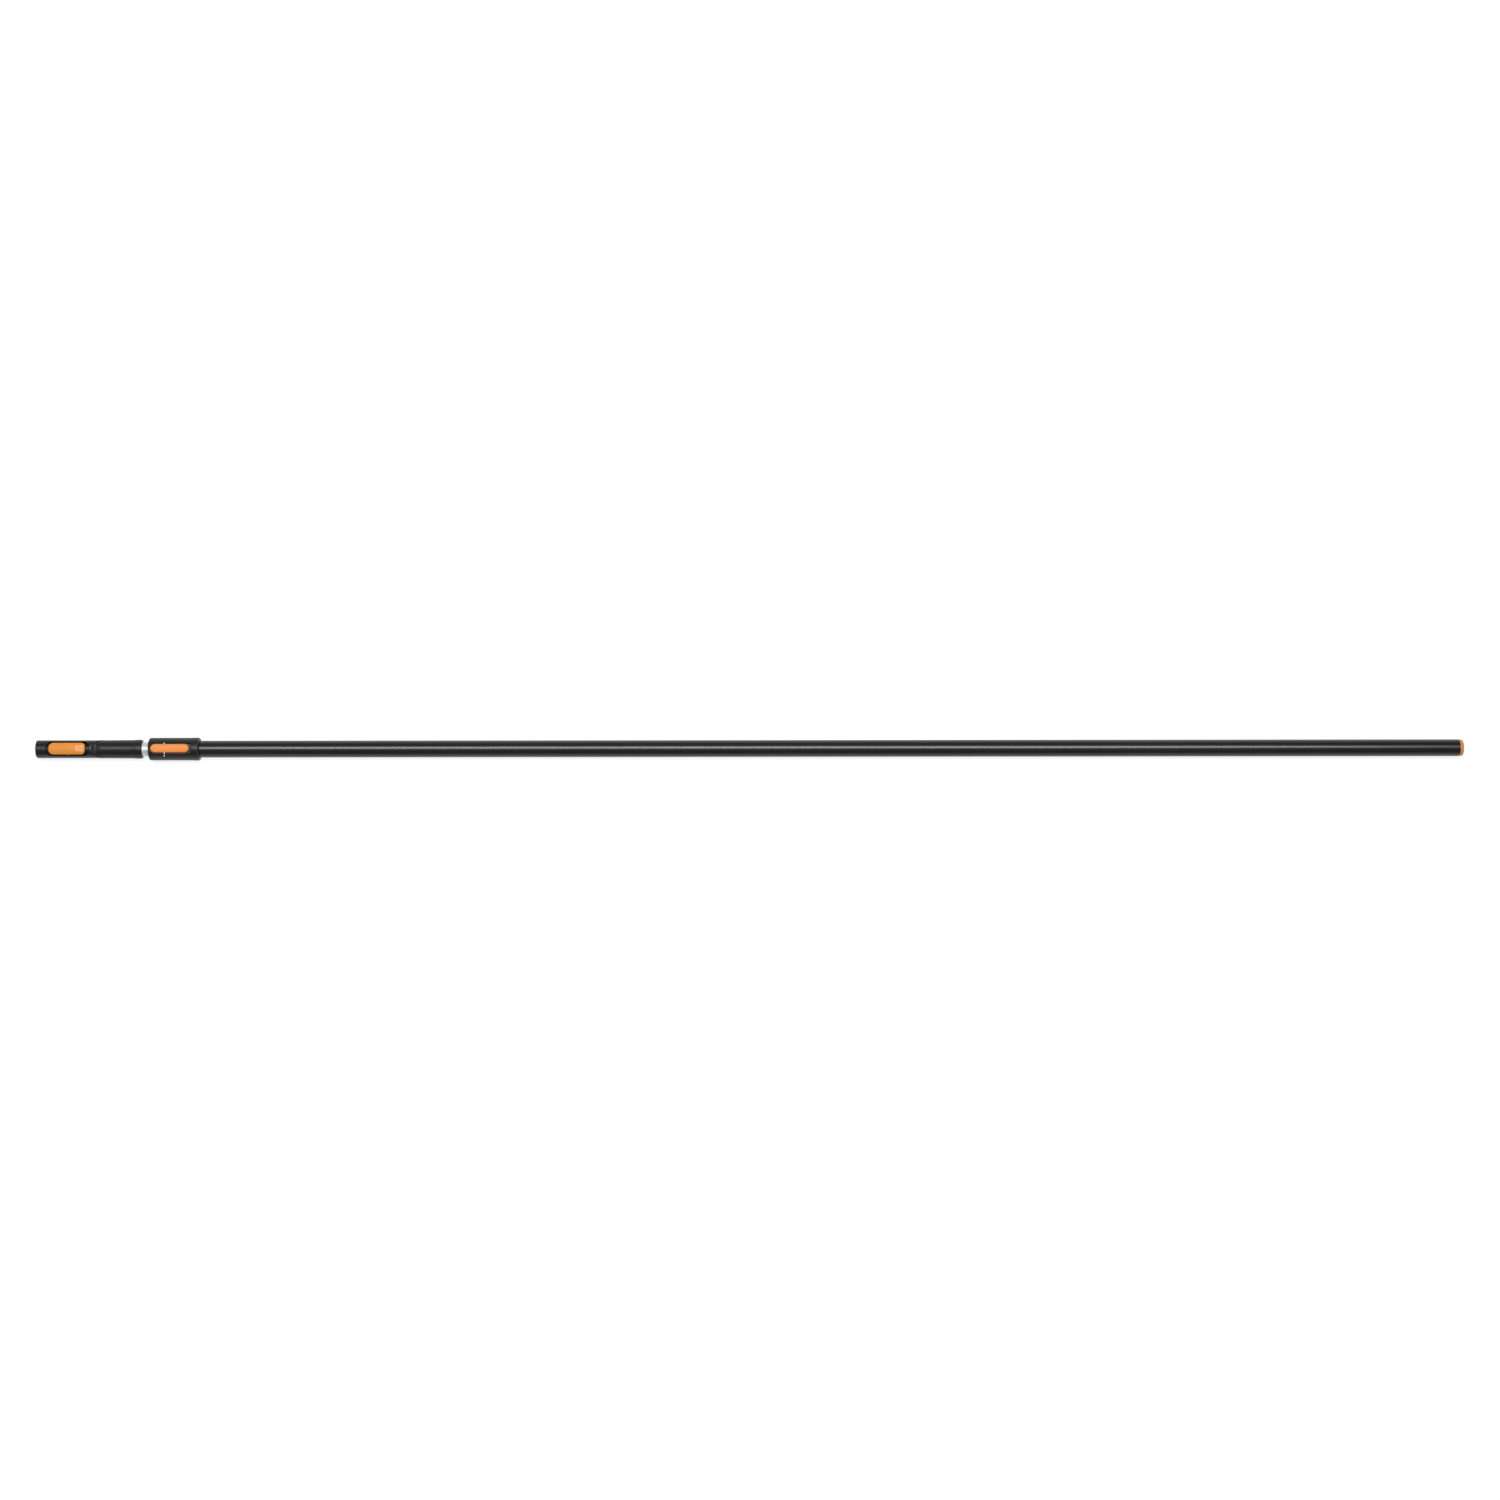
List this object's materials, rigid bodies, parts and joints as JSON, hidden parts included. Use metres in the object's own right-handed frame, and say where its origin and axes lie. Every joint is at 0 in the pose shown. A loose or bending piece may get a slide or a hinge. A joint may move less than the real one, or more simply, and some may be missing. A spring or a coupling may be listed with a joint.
{
  "type": "telescopic tool pole",
  "caption": "Telescopic pole with a push-in tool socket and rocker release button, a lever-locked sliding inner tube and a plugged rear end.",
  "frame": {"origin": "centre of the tool socket's mouth, on the pole's axis", "axes": "+X along the pole from the tool socket to the end cap, +Z towards the release button and the lock lever, +Y across"},
  "size_m": [2.28, 0.0364, 0.0388],
  "materials": {
    "coated_tube": "satin",
    "bare_tube": "satin",
    "black_nylon": "matte",
    "orange_button": "satin",
    "orange_cap": "satin",
    "pale_acetal": "satin",
    "grey_wiper": "matte",
    "steel": "satin",
    "dark_steel": "satin",
    "shoe_alloy": "satin",
    "rubber": "matte"
  },
  "bodies": {
    "outer_section": {"outer_tube": "coated_tube", "collar_body": "black_nylon", "wiper_ring": "grey_wiper", "guide_bush": "pale_acetal", "spacer_sleeve": "pale_acetal", "collar_screws": "steel", "lever_pin": "steel", "lever_spring": "steel", "end_cap": "orange_cap", "cap_buffer": "rubber"},
    "lock_lever_assembly": {"lock_lever": "orange_button", "brake_shoe": "shoe_alloy", "brake_pad": "rubber", "shoe_pin": "steel"},
    "inner_section": {"inner_tube": "bare_tube", "head_body": "black_nylon", "head_screws": "steel", "button_pins": "dark_steel", "button_spring": "steel", "socket_buffer": "rubber", "glide_bush": "pale_acetal", "glide_rivet": "shoe_alloy"},
    "release_button_assembly": {"release_button": "orange_button", "latch_hook": "steel", "latch_screw": "steel"}
  },
  "joints": [
    {"name": "tube_extend", "type": "slide", "parent": "outer_section", "child": "inner_section", "axis": [-1, 0, 0], "range_m": [0, 1.72]},
    {"name": "lever_rock", "type": "hinge", "parent": "outer_section", "child": "lock_lever_assembly", "pos_m": [0.2059, 0, 0.0155], "axis": [0, 1, 0], "range_deg": [0, 4.2], "stiffness_Nm_per_rad": 2.5, "springref_deg": -8.59, "deforming": ["lever_spring"]},
    {"name": "button_rock", "type": "hinge", "parent": "inner_section", "child": "release_button_assembly", "pos_m": [0.052, 0, 0.0102], "axis": [0, 1, 0], "range_deg": [0, 4.8], "stiffness_Nm_per_rad": 0.8, "springref_deg": -8.59, "deforming": ["button_spring"]}
  ]
}
